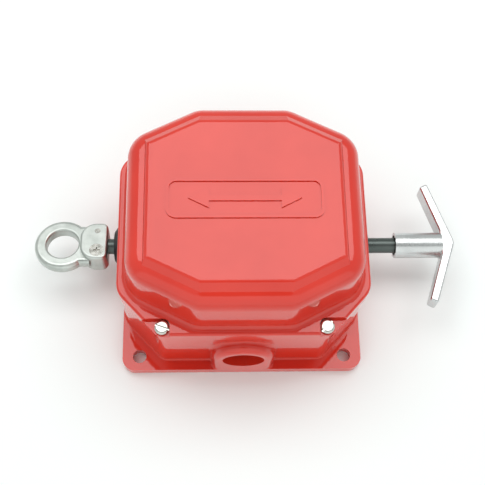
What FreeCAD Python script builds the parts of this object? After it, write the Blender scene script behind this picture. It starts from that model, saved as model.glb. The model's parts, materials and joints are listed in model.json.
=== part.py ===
import FreeCAD, Part
import Sketcher
import math
import os

# Cable-operated emergency pull switch in a cast box, millimetres.
# Origin: centre of the mounting face.  +Z away from the wall, X along the pull shaft
# (cable eye at -X, T-handle at +X), -Y the side with the conduit entry.
# Every size is a cell of the sheet; the objects are bound to the cells by formulas.
# A size given as a formula follows the sizes that it names.

SIZES = {
    # mounting plate
    "plate_width": "=box_width + 2.4",
    "plate_depth": "=box_depth + 13.8",
    "plate_thick": 7.0,
    "plate_corner": 8.0,
    "mount_pitch_x": "=plate_width - 22",
    "mount_pitch_y": "=plate_depth - 18",
    "mount_hole_rad": 4.35,
    # how far a cutting tool reaches past the face that it opens
    "overrun": 1.0,
    # walls of the base
    "box_width": 151.6,
    "box_depth": 140.2,
    "box_cut_x": 25.0,
    "box_cut_y": 27.0,
    "rear_cut_x": 30.3,
    "rear_cut_y": 30.5,
    "side_round": 15.0,
    "front_round": 8.0,
    "base_height": 54.2,
    "wall": 4.5,
    "floor_thick": 6.0,
    "foot_fillet": 1.0,
    "base_edge": 1.0,
    # cover flange
    "gasket_thick": 0.8,
    "gasket_inset": 1.2,
    "flange_width": "=box_width + 2.1",
    "flange_depth": "=box_depth + 2",
    "flange_thick": 10.0,
    "flange_edge": 1.6,
    # dome of the cover
    "dome_width": "=box_width - 9",
    "dome_depth": "=box_depth - 8.2",
    "dome_cut_x": 42.8,
    "dome_cut_y": 21.5,
    "dome_rise": 35.0,
    "dome_draft": 3.4,
    "dome_side_round": 18.0,
    "dome_front_round": 17.0,
    "shoulder_round": 11.0,
    "dome_foot": 3.3,
    "cover_wall": 4.0,
    "cover_roof": 5.5,
    # raised panel on the dome, and its plain border with a double arrow
    "panel_width": "=dome_width - 27",
    "panel_depth": "=dome_depth - 30",
    "panel_cut_x": 30.8,
    "panel_cut_y": 15.4,
    "panel_foot_cut_x": 34.1,
    "panel_foot_cut_y": 17.05,
    "panel_rise": 3.0,
    "panel_sink": 2.5,
    "panel_side_bevel": 1.9,
    "panel_front_bevel": 8.5,
    "panel_round": 3.5,
    "border_width": 92.0,
    "border_depth": 25.0,
    "border_line": 1.8,
    "border_corner": 6.0,
    "emboss_rise": 0.9,
    "arrow_span": 66.0,
    "arrow_head": 12.0,
    "arrow_half_head": 6.2,
    "arrow_half_stem": 1.8,
    # cover screws
    "front_screw_x": "=box_width / 2 - 26.8",
    "front_screw_y": "=box_depth / 2 - 4.6",
    "rear_screw_x": "=box_width / 2 - 31.3",
    "rear_screw_y": "=box_depth / 2 - 5.1",
    "cover_screw_rad": 2.5,
    "cover_screw_head": 4.5,
    "cover_screw_head_rise": 3.0,
    "cover_screw_grip": 14.0,
    "screw_slot": 1.2,
    "screw_hole_gap": 0.25,
    "boss_rad": 6.5,
    "boss_shift_x": 1.5,
    "boss_shift_y": 2.0,
    "notch_side": 4.5,
    "notch_back": 5.0,
    "notch_deep": 3.5,
    "notch_over": 2.5,
    "notch_round": 4.0,
    # conduit entry, 3/4 inch pipe thread
    "hub_half": "=conduit_rad + 6.4",
    "hub_round": 4.5,
    "hub_foot": 2.0,
    "hub_inner": "=box_depth / 2 - 12.1",
    "conduit_height": 28.7,
    "conduit_rad": 13.0,
    # pull shaft and its bearings
    "shaft_height": 28.0,
    "shaft_rad": 5.0,
    "shaft_travel": 16.0,
    "run_gap": 0.05,
    "shaft_head_rad": "=shaft_rad + 2",
    "shaft_head_thick": 3.5,
    "shaft_head_end": "=box_width / 2 + 23.2",
    "shaft_thread_rad": "=shaft_rad - 1",
    "shaft_step": "=box_width / 2 + 27.9",
    "shaft_end": "=box_width / 2 + 45.2",
    "bearing_boss_rad": "=bushing_rad + 6",
    "bearing_inner": "=box_width / 2 - 16.8",
    "bushing_rad": "=shaft_rad + 3",
    "bushing_flange_rad": "=bushing_rad + 3",
    "bushing_flange": 2.0,
    "seal_rad": "=shaft_rad + 7.8",
    "seal_rim": 3.9,
    "seal_nose_rad": "=shaft_rad + 4.5",
    "seal_length": 6.15,
    # collars on the shaft
    "drive_groove": 8.6,
    "drive_flange": 3.0,
    "drive_rad": "=shaft_rad + 6",
    "drive_root_rad": "=shaft_rad + 2",
    "cam_contact": 30.0,
    "cam_land": 6.0,
    "cam_ramp": 18.0,
    "cam_rad": "=shaft_rad + 7",
    "cam_slope": 0.2,
    "stop_rad": "=shaft_rad + 5",
    "stop_length": 6.8,
    "stop_gap": 0.2,
    "collar_pin_rad": 1.25,
    # toggle frame and yoke
    "frame_half": 11.0,
    "frame_inner": "=cam_rad + 12",
    "frame_plate": 2.5,
    "frame_top": "=base_height + dome_rise + 5.3",
    "frame_web": 2.0,
    "pivot_height": "=shaft_height + 26",
    "pivot_rad": 3.0,
    "yoke_hub_rad": 6.0,
    "yoke_inner": "=drive_rad + 0.5",
    "tine_thick": 3.0,
    "tine_half": 4.0,
    "stud_rad": 4.0,
    "stud_reach": 7.4,
    "yoke_hub_gap": 0.2,
    "tip_arm": 10.0,
    "tip_arm_half": 3.5,
    "tip_arm_side": 2.0,
    "tip_pin_rad": 1.5,
    "tip_pin_reach": 4.4,
    # toggle spring on its guide
    "trunnion_height": "=frame_top - 6.5",
    "trunnion_rad": 4.0,
    "guide_rad": 1.8,
    "guide_fork": 4.0,
    "guide_end": 5.5,
    "crown_half_x": 3.0,
    "crown_half_y": 4.5,
    "crown_thick": 2.0,
    "fork_inner": 2.2,
    "fork_below": 2.9,
    "slide_gap": 0.1,
    "spring_wire": 0.8,
    "spring_rad": 3.6,
    "spring_turns": 6.0,
    # snap switches, levers and rollers
    "switch_start": 12.0,
    "switch_length": 49.2,
    "switch_face": "=cam_rad + 11",
    "switch_deep": 24.2,
    "switch_thick": 17.4,
    "switch_hole_rad": 2.1,
    "switch_hole_pitch": 25.4,
    "hinge_lug_half": 2.2,
    "hinge_lug_thick": 3.0,
    "lever_side_gap": 0.2,
    "lever_hinge_x": 58.0,
    "lever_hinge_y": "=cam_rad + 8.4",
    "lever_plate": 1.0,
    "lever_half": 4.0,
    "ear_front": 3.0,
    "ear_back": 8.0,
    "ear_below": 2.0,
    "lever_tube_rad": 1.9,
    "lever_pin_rad": 1.0,
    "roller_rad": 5.0,
    "roller_thick": 5.0,
    "roller_gap": 0.05,
    "plunger_x": 49.0,
    "plunger_rad": 2.0,
    "plunger_long": 6.0,
    "plunger_bore": 5.0,
    "plunger_gap": 0.1,
    "bracket_sheet": 2.0,
    "bracket_foot": "=switch_face + 32",
    "bracket_short": 8.0,
    "bracket_screw_pitch": 24.6,
    "bracket_foot_screw": 4.5,
    "terminal_rad": 3.0,
    "terminal_pitch": "=switch_length * 0.38",
    "terminal_rise": 2.0,
    # small screws in the floor
    "small_screw_rad": 2.0,
    "small_head_rad": 3.5,
    "small_head_rise": 2.4,
    "small_screw_grip": 4.5,
    "small_slot": 0.8,
    "frame_screw_x": "=frame_half * 0.6",
    "frame_screw_in": 5.0,
    "ground_x": -40.0,
    "ground_y": -45.0,
    # cable eye
    "eye_tilt": -10.0,
    "eye_centre": "=box_width / 2 + 39.8",
    "eye_rad": 18.0,
    "eye_hole_rad": 10.25,
    "eye_thick": 8.0,
    "eye_round": 2.8,
    "eye_hole_round": 1.4,
    "eye_neck_half": 14.0,
    "tongue_half": 9.0,
    "tongue_thick": 6.0,
    "tongue_root": 1.0,
    "tongue_end": "=box_width / 2 + 24.7",
    "shell_start": "=box_width / 2 + 28",
    "shell_end": "=box_width / 2 + 10.4",
    "shell_half": 13.4,
    "shell_rise": "=shaft_head_rad + 0.8",
    "shell_left_round": 10.0,
    "shell_right_round": 4.0,
    "shell_edge": 1.6,
    "swivel_gap": 0.08,
    "eye_screw_x": "=box_width / 2 + 17.2",
    "eye_screw_y": 7.2,
    "eye_screw_rad": 1.9,
    "eye_screw_head": 4.6,
    "eye_screw_sink": 2.6,
    "cross_span": 4.2,
    "cross_width": 0.9,
    "cross_deep": 1.3,
    # T-handle
    "handle_start": "=box_width / 2 + 24.4",
    "sleeve_rad": "=shaft_rad + 3.3",
    "handle_recess_rad": "=shaft_rad + 1.6",
    "handle_apex": "=box_width / 2 + 63.5",
    "handle_root": "=box_width / 2 + 54.2",
    "handle_tip_inner": "=box_width / 2 + 43.8",
    "handle_tip_outer": "=box_width / 2 + 48.8",
    "handle_span": 84.0,
    "handle_rise": 13.0,
    "handle_edge": 1.4,
}

document = FreeCAD.newDocument("pull_switch")
sheet = document.addObject("Spreadsheet::Sheet", "Sizes")
for row, alias in enumerate(SIZES, start=1):
    sheet.set("A%d" % row, alias)
    sheet.setAlias("B%d" % row, alias)
for row, content in enumerate(SIZES.values(), start=1):
    sheet.set("B%d" % row, str(content))
document.recompute()


class Size:
    """A number together with the sheet formula that gives it."""

    def __init__(self, value, text):
        self.value = value
        self.text = text

    def __add__(self, other):
        other = as_size(other)
        return Size(self.value + other.value, "(%s + %s)" % (self.text, other.text))

    def __sub__(self, other):
        other = as_size(other)
        return Size(self.value - other.value, "(%s - %s)" % (self.text, other.text))

    def __mul__(self, other):
        other = as_size(other)
        return Size(self.value * other.value, "(%s * %s)" % (self.text, other.text))

    def __truediv__(self, other):
        other = as_size(other)
        return Size(self.value / other.value, "(%s / %s)" % (self.text, other.text))

    def __radd__(self, other):
        return as_size(other) + self

    def __rsub__(self, other):
        return as_size(other) - self

    def __rmul__(self, other):
        return as_size(other) * self

    def __neg__(self):
        return 0 - self


def as_size(number):
    if isinstance(number, Size):
        return number
    return Size(float(number), repr(float(number)))


def cell(alias):
    """The sheet's cell as a size that can be added, scaled and bound."""
    return Size(float(sheet.get(alias)), "Sizes." + alias)


def bind(item, prop, size):
    item.setExpression(prop, as_size(size).text)


def place(item, x=0, y=0, z=0, axis=None, angle=0):
    """Put an object at (x, y, z), turned by an angle about an axis."""
    turn = FreeCAD.Rotation(FreeCAD.Vector(*(axis or (0, 0, 1))), as_size(angle).value)
    spot = [as_size(part) for part in (x, y, z)]
    item.Placement = FreeCAD.Placement(FreeCAD.Vector(*[part.value for part in spot]), turn)
    for letter, part in zip("xyz", spot):
        bind(item, "Placement.Base." + letter, part)
    return item


# ---------------------------------------------------------------- Part primitives

def cylinder(name, radius, length, x=0, y=0, z=0, axis=None, angle=0):
    item = document.addObject("Part::Cylinder", name)
    bind(item, "Radius", radius)
    bind(item, "Height", length)
    return place(item, x, y, z, axis, angle)


def x_cylinder(name, radius, start, length, y=0, z=0):
    return cylinder(name, radius, length, start, y, z, (0, 1, 0), 90)


def y_cylinder(name, radius, start, length, x=0, z=0):
    return cylinder(name, radius, length, x, start, z, (1, 0, 0), -90)


def block(name, x, y, z):
    """A box between two corners: each of x, y, z is a (low, high) pair."""
    item = document.addObject("Part::Box", name)
    for prop, pair in (("Length", x), ("Width", y), ("Height", z)):
        bind(item, prop, as_size(pair[1]) - pair[0])
    return place(item, x[0], y[0], z[0])


def fused(name, items, refine=True):
    item = document.addObject("Part::MultiFuse", name)
    item.Shapes = items
    item.Refine = refine
    return item


def cut(name, base, tool):
    item = document.addObject("Part::Cut", name)
    item.Base = base
    item.Tool = tool
    return item


def grouped(name, items):
    item = document.addObject("Part::Compound", name)
    item.Links = items
    return item


# ------------------------------------------------------------- PartDesign helpers

def new_body(name):
    return document.addObject("PartDesign::Body", name)


def plane(body, role):
    for feature in body.Origin.OriginFeatures:
        if feature.Role == role:
            return feature
    raise RuntimeError("no plane " + role)


def new_sketch(body, name, role="XY_Plane", offset=0):
    sketch = body.newObject("Sketcher::SketchObject", name)
    sketch.AttachmentSupport = (plane(body, role), [""])
    sketch.MapMode = "FlatFace"
    bind(sketch, "AttachmentOffset.Base.z", offset)
    return sketch


def pin_point(sketch, edge, end, point):
    """Fix one end of an edge at a point given by two sizes."""
    for kind, axis, size in (("DistanceX", -2, point[0]), ("DistanceY", -1, point[1])):
        size = as_size(size)
        if size.value == 0:
            sketch.addConstraint(Sketcher.Constraint("PointOnObject", edge, end, axis))
        else:
            index = sketch.addConstraint(
                Sketcher.Constraint(kind, -1, 1, edge, end, size.value))
            sketch.setExpression("Constraints[%d]" % index, size.text)


def add_outline(sketch, points):
    """A closed outline of straight edges through points given as pairs of sizes."""
    spots = [FreeCAD.Vector(as_size(x).value, as_size(y).value, 0) for x, y in points]
    first = sketch.GeometryCount
    for here, there in zip(spots, spots[1:] + spots[:1]):
        sketch.addGeometry(Part.LineSegment(here, there), False)
    for number in range(len(spots)):
        following = first + (number + 1) % len(spots)
        sketch.addConstraint(
            Sketcher.Constraint("Coincident", first + number, 2, following, 1))
        pin_point(sketch, first + number, 1, points[number])


def add_circle(sketch, x, y, radius):
    centre = FreeCAD.Vector(as_size(x).value, as_size(y).value, 0)
    edge = sketch.addGeometry(
        Part.Circle(centre, FreeCAD.Vector(0, 0, 1), as_size(radius).value), False)
    pin_point(sketch, edge, 3, (x, y))
    index = sketch.addConstraint(Sketcher.Constraint("Radius", edge, as_size(radius).value))
    sketch.setExpression("Constraints[%d]" % index, as_size(radius).text)


def extrude(body, kind, name, sketch, length, reverse=False, middle=False, taper=None):
    """A Pad or Pocket of a sketch; the body must grow or shrink by it."""
    before = body.Shape.Volume if body.Tip and not body.Shape.isNull() else 0
    item = body.newObject("PartDesign::" + kind, name)
    item.Profile = sketch
    item.Reversed = reverse
    if middle:
        item.SideType = "Symmetric"
    bind(item, "Length", length)
    if taper is not None:
        bind(item, "TaperAngle", taper)
    document.recompute()
    change = body.Shape.Volume - before
    if (change > 0) != (kind == "Pad"):
        raise RuntimeError(name + " changed nothing")
    return item


def pad(body, name, sketch, length, **options):
    return extrude(body, "Pad", name, sketch, length, **options)


def pocket(body, name, sketch, length, **options):
    return extrude(body, "Pocket", name, sketch, length, **options)


def find_edges(shape, wanted):
    """Names of the edges for which wanted(edge, middle point) holds."""
    names = []
    for number, edge in enumerate(shape.Edges, start=1):
        middle = edge.valueAt((edge.FirstParameter + edge.LastParameter) / 2)
        if wanted(edge, middle):
            names.append("Edge%d" % number)
    return names


def dress(body, kind, name, prop, size, wanted):
    """A Fillet or Chamfer on the chosen edges of the body so far."""
    edges = find_edges(body.Tip.Shape, wanted)
    if not edges:
        raise RuntimeError(name + " finds no edge")
    base = body.Tip
    item = body.newObject("PartDesign::" + kind, name)
    item.Base = (base, edges)
    bind(item, prop, size)
    document.recompute()
    if item.Shape.isNull() or "Invalid" in item.State:
        raise RuntimeError("%s failed on %d edges" % (name, len(edges)))
    return item


def fillet(body, name, radius, wanted):
    return dress(body, "Fillet", name, "Radius", radius, wanted)


def near(number, goal, slack=0.02):
    return abs(number - goal) < slack


def is_upright(edge, lean=0.12):
    """True for a straight edge within a few degrees of vertical."""
    if len(edge.Vertexes) != 2:
        return False
    chord = edge.Vertexes[1].Point - edge.Vertexes[0].Point
    return abs(chord.z) > (1 - lean) * edge.Length


def is_level(edge, height):
    box = edge.BoundBox
    return near(box.ZMin, height) and near(box.ZMax, height)


def octagon(half_x, half_y, front_cuts, rear_cuts=None):
    """A rectangle with its four corners cut off, as eight points; the rear is at +Y."""
    rear_cuts = rear_cuts or front_cuts
    front_x = half_x - front_cuts[0]
    front_y = half_y - front_cuts[1]
    rear_x = half_x - rear_cuts[0]
    rear_y = half_y - rear_cuts[1]
    return [(half_x, -front_y), (half_x, rear_y), (rear_x, half_y), (-rear_x, half_y),
            (-half_x, rear_y), (-half_x, -front_y), (-front_x, -half_y),
            (front_x, -half_y)]


def rectangle(half_x, half_y):
    return [(-half_x, -half_y), (half_x, -half_y), (half_x, half_y), (-half_x, half_y)]


def revolved(name, points):
    """A body turned about Z from an outline of (radius, height) points."""
    body = new_body(name)
    sketch = new_sketch(body, name + "_profile", "XZ_Plane")
    add_outline(sketch, points)
    item = body.newObject("PartDesign::Revolution", name + "_turned")
    item.Profile = sketch
    item.ReferenceAxis = (sketch, ["V_Axis"])
    item.Angle = 360
    document.recompute()
    return body


def along_x(body, x, y=0, z=0):
    """Lay a turned body with its axis along +X, its zero height at x."""
    return place(body, x, y, z, (0, 1, 0), 90)


def inset_cut(cuts, depth):
    """How the corner cuts of an octagon shrink when its walls move in by a depth."""
    run = cuts[0].value
    rise = cuts[1].value
    slant = math.hypot(run, rise)
    share_x = 1 - (slant - run) / rise
    share_y = 1 - (slant - rise) / run
    return cuts[0] - depth * share_x, cuts[1] - depth * share_y


def box_outline(inset):
    """The outline of the base's walls, moved in by an inset (out if negative)."""
    return octagon(box_x - inset, box_y - inset, inset_cut(FRONT_CUTS, inset),
                   inset_cut(REAR_CUTS, inset))


# ------------------------------------------------------------------ driving sizes

plate_thick = cell("plate_thick")
base_height = cell("base_height")
floor_thick = cell("floor_thick")
wall = cell("wall")
box_x = cell("box_width") / 2
box_y = cell("box_depth") / 2
FRONT_CUTS = (cell("box_cut_x"), cell("box_cut_y"))
REAR_CUTS = (cell("rear_cut_x"), cell("rear_cut_y"))
cover_under = base_height + cell("gasket_thick")
flange_top = cover_under + cell("flange_thick")
dome_top = flange_top + cell("dome_rise")
panel_top = dome_top + cell("panel_rise")
screw_seat = flange_top - cell("notch_deep")
past = cell("overrun")
shaft_height = cell("shaft_height")
shaft_rad = cell("shaft_rad")
bore_rad = shaft_rad + cell("run_gap")
travel = cell("shaft_travel")
bushing_face = cell("bearing_inner") - cell("bushing_flange")
pivot_height = cell("pivot_height")
yoke_arm = pivot_height - shaft_height
roller_x = cell("cam_contact")
roller_lift = cell("roller_rad") * math.hypot(1, cell("cam_slope").value)
roller_y = cell("cam_rad") + roller_lift + cell("roller_gap")
switch_side = {"front": -1, "rear": 1}


def four_corners(x, y):
    return [(x, y), (-x, y), (-x, -y), (x, -y)]


REAR_SCREW = (cell("rear_screw_x"), cell("rear_screw_y"))
FRONT_SCREW = (cell("front_screw_x"), cell("front_screw_y"))
COVER_SCREWS = four_corners(*REAR_SCREW)[:2] + four_corners(*FRONT_SCREW)[2:]
BOSS_SHIFT = (cell("boss_shift_x"), cell("boss_shift_y"))
FRAME_SCREWS = four_corners(cell("frame_screw_x"),
                            cell("frame_inner") - cell("frame_screw_in"))
BRACKET_SCREWS = four_corners(cell("bracket_screw_pitch") / 2,
                              cell("bracket_foot") - cell("bracket_foot_screw"))
BRACKET_MIDDLE = cell("switch_start") + cell("switch_length") / 2


def moved_in(place_xy, inward):
    """A corner place moved towards the middle by a pair of sizes."""
    return [spot - step if spot.value > 0 else spot + step
            for spot, step in zip(place_xy, inward)]


def floor_screw_places():
    """Every small screw in the floor, with its height: frame, brackets and earth."""
    frame = [(x, y) for x, y in FRAME_SCREWS]
    brackets = [(BRACKET_MIDDLE + x, y) for x, y in BRACKET_SCREWS]
    return frame, brackets, [(cell("ground_x"), cell("ground_y"))]


# ------------------------------------------------------------------ cast housing

def make_base_housing():
    body = new_body("base_housing")
    walls = new_sketch(body, "base_walls")
    add_outline(walls, box_outline(as_size(0)))
    pad(body, "base_block", walls, base_height)
    fillet(body, "base_side_rounds", cell("side_round"),
           lambda edge, middle: is_upright(edge) and near(abs(middle.x), box_x.value))
    fillet(body, "base_front_rounds", cell("front_round"),
           lambda edge, middle: is_upright(edge) and near(abs(middle.y), box_y.value))
    fillet(body, "base_rim", cell("base_edge"),
           lambda edge, middle: is_level(edge, base_height.value))

    plate_x = cell("plate_width") / 2
    plate_y = cell("plate_depth") / 2
    hub = new_sketch(body, "hub_outline", "XZ_Plane", box_y - wall / 2)
    add_arch(hub, cell("hub_half"), cell("conduit_height"))
    pad(body, "conduit_hub", hub, plate_y - box_y + wall / 2)
    fillet(body, "hub_rim", cell("hub_round"),
           lambda edge, middle: near(middle.y, -plate_y.value) and middle.z > 1)
    fillet(body, "hub_foot_round", cell("hub_foot"),
           lambda edge, middle: near(middle.y, -box_y.value)
           and 1 < middle.z < base_height.value - 1
           and abs(middle.x) < cell("hub_half").value + 0.1)
    plate = new_sketch(body, "plate_outline")
    add_outline(plate, rectangle(plate_x, plate_y))
    pad(body, "plate", plate, plate_thick)
    fillet(body, "plate_corners", cell("plate_corner"),
           lambda edge, middle: is_upright(edge) and near(abs(middle.x), plate_x.value))

    def at_foot(edge, middle):
        inside_x = abs(middle.x) < box_x.value + 0.1
        inside_y = abs(middle.y) < box_y.value + 0.1
        return is_level(edge, plate_thick.value) and inside_x and inside_y

    fillet(body, "wall_foot", cell("foot_fillet"), at_foot)

    cavity = new_sketch(body, "base_cavity", offset=base_height)
    add_outline(cavity, box_outline(wall))
    pocket(body, "base_hollow", cavity, base_height - floor_thick)

    bosses = new_sketch(body, "screw_bosses", offset=floor_thick)
    for spot in COVER_SCREWS:
        add_circle(bosses, *moved_in(spot, BOSS_SHIFT), cell("boss_rad"))
    pad(body, "cover_screw_bosses", bosses, base_height - floor_thick)

    hub_inside = new_sketch(body, "hub_inner_outline", "XZ_Plane", cell("hub_inner"))
    add_arch(hub_inside, cell("hub_half"), cell("conduit_height"))
    pad(body, "conduit_hub_inside", hub_inside, box_y - wall / 2 - cell("hub_inner"))

    boss_length = box_x - wall / 2 - cell("bearing_inner")
    for name, start in (("right", cell("bearing_inner")), ("left", wall / 2 - box_x)):
        ring = new_sketch(body, name + "_boss_circle", "YZ_Plane", start)
        add_circle(ring, 0, shaft_height, cell("bearing_boss_rad"))
        pad(body, name + "_bearing_boss", ring, boss_length)

    conduit = new_sketch(body, "conduit_circle", "XZ_Plane", plate_y)
    add_circle(conduit, 0, cell("conduit_height"), cell("conduit_rad"))
    pocket(body, "conduit_bore", conduit, plate_y - cell("hub_inner") + past)
    shaft_bore = new_sketch(body, "bushing_circle", "YZ_Plane", box_x + past)
    add_circle(shaft_bore, 0, shaft_height, cell("bushing_rad"))
    pocket(body, "bushing_bores", shaft_bore, (box_x + past) * 2)

    mounts = new_sketch(body, "mount_circles", offset=plate_thick + past)
    for x, y in four_corners(cell("mount_pitch_x") / 2, cell("mount_pitch_y") / 2):
        add_circle(mounts, x, y, cell("mount_hole_rad"))
    pocket(body, "mount_holes", mounts, plate_thick + past * 2)

    taps = new_sketch(body, "cover_tap_circles", offset=base_height)
    for x, y in COVER_SCREWS:
        add_circle(taps, x, y, cell("cover_screw_rad"))
    pocket(body, "cover_taps", taps, cell("cover_screw_grip") + 2)

    floor_taps = new_sketch(body, "floor_tap_circles", offset=floor_thick)
    for group in floor_screw_places():
        for x, y in group:
            add_circle(floor_taps, x, y, cell("small_screw_rad"))
    pocket(body, "floor_taps", floor_taps, cell("small_screw_grip"))
    return body


def add_arch(sketch, half, spring_line):
    """An outline with two upright sides from the ground and a half-round top."""
    low_left = FreeCAD.Vector(-half.value, 0, 0)
    low_right = FreeCAD.Vector(half.value, 0, 0)
    left = FreeCAD.Vector(-half.value, spring_line.value, 0)
    right = FreeCAD.Vector(half.value, spring_line.value, 0)
    crown = FreeCAD.Vector(0, spring_line.value + half.value, 0)
    sketch.addGeometry(Part.LineSegment(low_left, low_right), False)
    sketch.addGeometry(Part.LineSegment(low_right, right), False)
    sketch.addGeometry(Part.Arc(right, crown, left), False)
    sketch.addGeometry(Part.LineSegment(left, low_left), False)
    sketch.addConstraint(Sketcher.Constraint("Coincident", 0, 2, 1, 1))
    sketch.addConstraint(Sketcher.Constraint("Coincident", 1, 2, 2, 1))
    sketch.addConstraint(Sketcher.Constraint("Coincident", 2, 2, 3, 1))
    sketch.addConstraint(Sketcher.Constraint("Coincident", 3, 2, 0, 1))
    pin_point(sketch, 0, 1, (-half, 0))
    pin_point(sketch, 0, 2, (half, 0))
    pin_point(sketch, 2, 1, (half, spring_line))
    pin_point(sketch, 2, 2, (-half, spring_line))
    height = sketch.addConstraint(
        Sketcher.Constraint("DistanceY", -1, 1, 2, 3, spring_line.value))
    sketch.setExpression("Constraints[%d]" % height, spring_line.text)


def make_dome_block(body, name, base, rise, inset, round_less):
    """A drafted block on the dome's outline, moved in by an inset, edges rounded."""
    cuts = inset_cut((cell("dome_cut_x"), cell("dome_cut_y")), inset)
    half_x = cell("dome_width") / 2 - inset
    half_y = cell("dome_depth") / 2 - inset
    outline = new_sketch(body, name + "_outline", offset=base)
    add_outline(outline, octagon(half_x, half_y, cuts))
    pad(body, name, outline, rise, taper=-cell("dome_draft"))
    side_limit = half_x.value - cuts[0].value / 2
    fillet(body, name + "_side_rounds", cell("dome_side_round") - round_less,
           lambda edge, middle: is_upright(edge) and abs(middle.x) > side_limit)
    fillet(body, name + "_front_rounds", cell("dome_front_round") - round_less,
           lambda edge, middle: is_upright(edge) and 1 < abs(middle.x) < side_limit
           and abs(middle.y) > half_y.value - 4)
    top = (base + rise).value
    fillet(body, name + "_shoulder", cell("shoulder_round") - round_less,
           lambda edge, middle: is_level(edge, top))


def make_cover():
    body = new_body("cover_casting")
    dome_x = cell("dome_width") / 2
    dome_y = cell("dome_depth") / 2
    dome_cuts = (cell("dome_cut_x"), cell("dome_cut_y"))
    make_dome_block(body, "dome", flange_top, cell("dome_rise"), as_size(0), 0)

    flange_x = cell("flange_width") / 2
    flange_y = cell("flange_depth") / 2
    grow = flange_x - box_x
    flange = new_sketch(body, "flange_outline", offset=cover_under)
    add_outline(flange, octagon(flange_x, flange_y, inset_cut(FRONT_CUTS, -grow),
                                inset_cut(REAR_CUTS, -grow)))
    pad(body, "flange", flange, cell("flange_thick"))
    fillet(body, "flange_side_rounds", cell("side_round"),
           lambda edge, middle: is_upright(edge) and near(abs(middle.x), flange_x.value))
    fillet(body, "flange_front_rounds", cell("front_round"),
           lambda edge, middle: is_upright(edge) and near(abs(middle.y), flange_y.value))

    def inside_dome(middle):
        """True within the dome's outline, its cut corners included."""
        over_x = abs(middle.x) - dome_x.value + dome_cuts[0].value
        over_y = abs(middle.y) - dome_y.value + dome_cuts[1].value
        on_cut = over_x / dome_cuts[0].value + over_y / dome_cuts[1].value
        in_box = over_x < dome_cuts[0].value + 0.1 and over_y < dome_cuts[1].value + 0.1
        return in_box and on_cut < 1.05

    fillet(body, "dome_foot_round", cell("dome_foot"),
           lambda edge, middle: is_level(edge, flange_top.value) and inside_dome(middle))

    def at_rim(edge, middle):
        on_side = near(abs(middle.x), flange_x.value)
        on_front = near(abs(middle.y), flange_y.value)
        return is_level(edge, flange_top.value) and (on_side or on_front)

    fillet(body, "flange_rim", cell("flange_edge"), at_rim)

    holes = new_sketch(body, "cover_hole_circles", offset=screw_seat)
    for x, y in COVER_SCREWS:
        add_circle(holes, x, y, cell("cover_screw_rad") + cell("screw_hole_gap"))
    pocket(body, "cover_holes", holes, screw_seat - cover_under + past)

    core = new_body("cover_core")
    make_dome_block(core, "hollow", cover_under - past,
                    panel_top - cell("cover_roof") - cover_under + past,
                    cell("cover_wall"), cell("cover_wall"))
    room = [core]
    for number, spot in enumerate(COVER_SCREWS, start=1):
        room.append(make_notch("screw_notch_%d" % number, spot))
    shell = fused("cover_shell", [body, make_panel()], refine=False)
    return cut("cover", shell, grouped("cover_room", room))


def make_notch(name, spot):
    """The room for a screw head at a corner of the flange, open to the outside."""
    body = new_body(name)
    inner = moved_in(spot, (cell("notch_side"), cell("notch_back")))
    outer = [part * 2 for part in spot]
    sketch = new_sketch(body, name + "_outline", offset=screw_seat)
    add_outline(sketch, [(inner[0], inner[1]), (outer[0], inner[1]),
                         (outer[0], outer[1]), (inner[0], outer[1])])
    pad(body, name + "_block", sketch, cell("notch_deep") + cell("notch_over"))
    fillet(body, name + "_round", cell("notch_round"),
           lambda edge, middle: is_upright(edge) and near(middle.x, inner[0].value)
           and near(middle.y, inner[1].value))
    return body


def make_panel():
    """The raised panel: wide bevels at front and rear, steep narrow ones at the sides."""
    body = new_body("cover_panel")
    half_x = cell("panel_width") / 2
    half_y = cell("panel_depth") / 2
    foot = new_sketch(body, "panel_foot", offset=dome_top - cell("panel_sink"))
    add_outline(foot, octagon(half_x + cell("panel_side_bevel"),
                              half_y + cell("panel_front_bevel"),
                              (cell("panel_foot_cut_x"), cell("panel_foot_cut_y"))))
    face = new_sketch(body, "panel_face", offset=panel_top)
    add_outline(face, octagon(half_x, half_y,
                              (cell("panel_cut_x"), cell("panel_cut_y"))))
    loft = body.newObject("PartDesign::AdditiveLoft", "panel_bevels")
    loft.Profile = foot
    loft.Sections = [face]
    loft.Ruled = True
    document.recompute()
    fillet(body, "panel_rim", cell("panel_round"),
           lambda edge, middle: is_level(edge, panel_top.value))
    make_emboss(body)
    return body


def make_emboss(body):
    """A plain raised border with a double arrow along the pull direction."""
    border = new_sketch(body, "border_outline", offset=panel_top)
    outer = (cell("border_width") / 2, cell("border_depth") / 2)
    line = cell("border_line")
    add_outline(border, rectangle(*outer))
    add_outline(border, rectangle(outer[0] - line, outer[1] - line))
    pad(body, "border", border, cell("emboss_rise"))
    fillet(body, "border_outer_corners", cell("border_corner"),
           lambda edge, middle: is_upright(edge) and middle.z > panel_top.value
           and near(abs(middle.x), outer[0].value))
    fillet(body, "border_inner_corners", cell("border_corner") - line,
           lambda edge, middle: is_upright(edge) and middle.z > panel_top.value
           and near(abs(middle.x), (outer[0] - line).value))
    arrow = new_sketch(body, "arrow_outline", offset=panel_top)
    tip = cell("arrow_span") / 2
    neck = tip - cell("arrow_head")
    barb = cell("arrow_half_head")
    stem = cell("arrow_half_stem")
    add_outline(arrow, [(tip, 0), (neck, barb), (neck, stem), (-neck, stem),
                        (-neck, barb), (-tip, 0), (-neck, -barb), (-neck, -stem),
                        (neck, -stem), (neck, -barb)])
    pad(body, "arrow", arrow, cell("emboss_rise"))


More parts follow.
